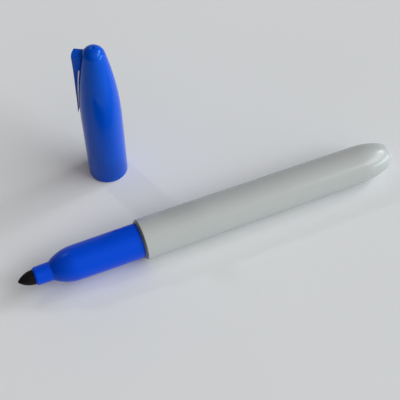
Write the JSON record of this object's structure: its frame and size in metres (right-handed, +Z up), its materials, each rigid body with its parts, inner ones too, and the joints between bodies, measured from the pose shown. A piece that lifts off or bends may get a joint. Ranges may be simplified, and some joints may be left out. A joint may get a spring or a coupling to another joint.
{
  "type": "permanent marker",
  "caption": "Fibre-tip permanent marker lying uncapped on its side, with its clip cap standing on its mouth beside it.",
  "frame": {"origin": "centre of the bounding box of pen and cap, on the table that they stand on", "axes": "+X along the pen from the nib to the tail, +Y from the pen to the cap, +Z up"},
  "size_m": [0.1208, 0.0464, 0.0522],
  "materials": {
    "barrel_plastic": "light grey moulded polypropylene, satin gloss",
    "coloured_plastic": "ultramarine moulded polypropylene, satin",
    "cap_plastic": "ultramarine moulded polypropylene, glossy",
    "nib_fibre": "bonded fibre soaked with dried ink",
    "reservoir_fibre": "fibre bundle soaked with ink",
    "film": "thin clear film",
    "seal_plastic": "natural polyethylene"
  },
  "bodies": {
    "pen": {"barrel": "barrel_plastic", "front_section": "coloured_plastic", "nib": "nib_fibre", "ink_reservoir": "reservoir_fibre", "reservoir_film": "film"},
    "cap": {"cap_shell": "cap_plastic", "cap_inner_seal": "seal_plastic"},
    "clip": {"cap_clip": "cap_plastic"}
  },
  "joints": [
    {"name": "cap_lift", "type": "slide", "parent": "pen", "child": "cap", "axis": [0, 0, 1], "range_m": [0, 0.06]},
    {"name": "clip_flex", "type": "hinge", "parent": "cap", "child": "clip", "pos_m": [-0.02659, 0.0199, 0.04445], "axis": [0.5045, 0.8634, 0], "range_deg": [0, 8], "stiffness_Nm_per_rad": 0.12}
  ]
}
